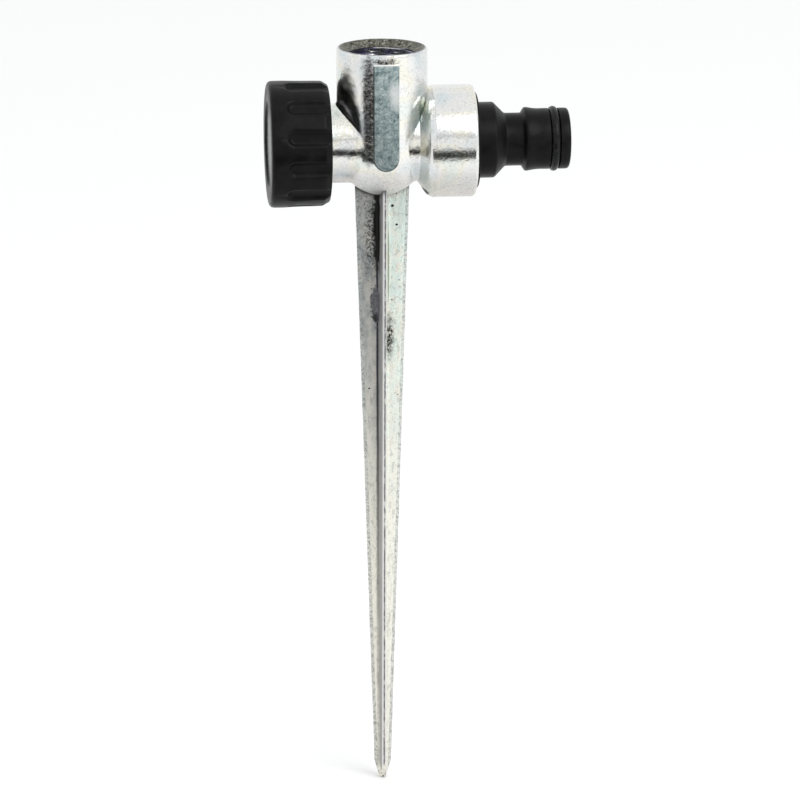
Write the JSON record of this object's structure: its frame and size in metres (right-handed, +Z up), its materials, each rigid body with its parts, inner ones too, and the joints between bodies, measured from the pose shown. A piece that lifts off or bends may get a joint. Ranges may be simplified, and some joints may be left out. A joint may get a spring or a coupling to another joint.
{
  "type": "sprinkler ground spike",
  "caption": "Cast metal ground spike with a cross run: a threaded socket on top for a sprinkler head, a hose spigot on one side and a screw cap on the other.",
  "frame": {"origin": "on the spike's axis at the ground line, 22 mm below the cross run's axis", "axes": "+Z up along the spike and the socket, +X along the cross run towards the hose spigot, -Y the front"},
  "size_m": [0.0831, 0.0348, 0.2121],
  "materials": {
    "cast_zinc": "bright die-cast zinc, grainy, with faint yellow and green passivation tints",
    "black_plastic": "satin moulded plastic",
    "black_rubber": "smooth seal rubber"
  },
  "bodies": {
    "casting": {"spike_casting": "cast_zinc"},
    "cap_washer": {"outlet_cap_washer": "black_rubber"},
    "cap": {"outlet_cap": "black_plastic"},
    "inlet_washer": {"inlet_washer": "black_rubber"},
    "adapter": {"inlet_adapter": "black_plastic", "inlet_adapter_o_ring": "black_rubber"}
  },
  "joints": [
    {"name": "cap_travel", "type": "slide", "parent": "casting", "child": "cap_washer", "axis": [-1, 0, 0], "range_m": [0, 0.00907]},
    {"name": "cap_turn", "type": "hinge", "parent": "cap_washer", "child": "cap", "pos_m": [-0.023, 0, 0.022], "axis": [-1, 0, 0], "range_deg": [0, 1800]},
    {"name": "adapter_travel", "type": "slide", "parent": "casting", "child": "inlet_washer", "axis": [1, 0, 0], "range_m": [0, 0.00726]},
    {"name": "adapter_turn", "type": "hinge", "parent": "inlet_washer", "child": "adapter", "pos_m": [0.03, 0, 0.022], "axis": [1, 0, 0], "range_deg": [0, 1440]}
  ],
  "couplings": [
    {"joint": "cap_turn", "follows": "cap_travel", "rad_per_m": 3463.2},
    {"joint": "adapter_turn", "follows": "adapter_travel", "rad_per_m": 3463.2}
  ]
}
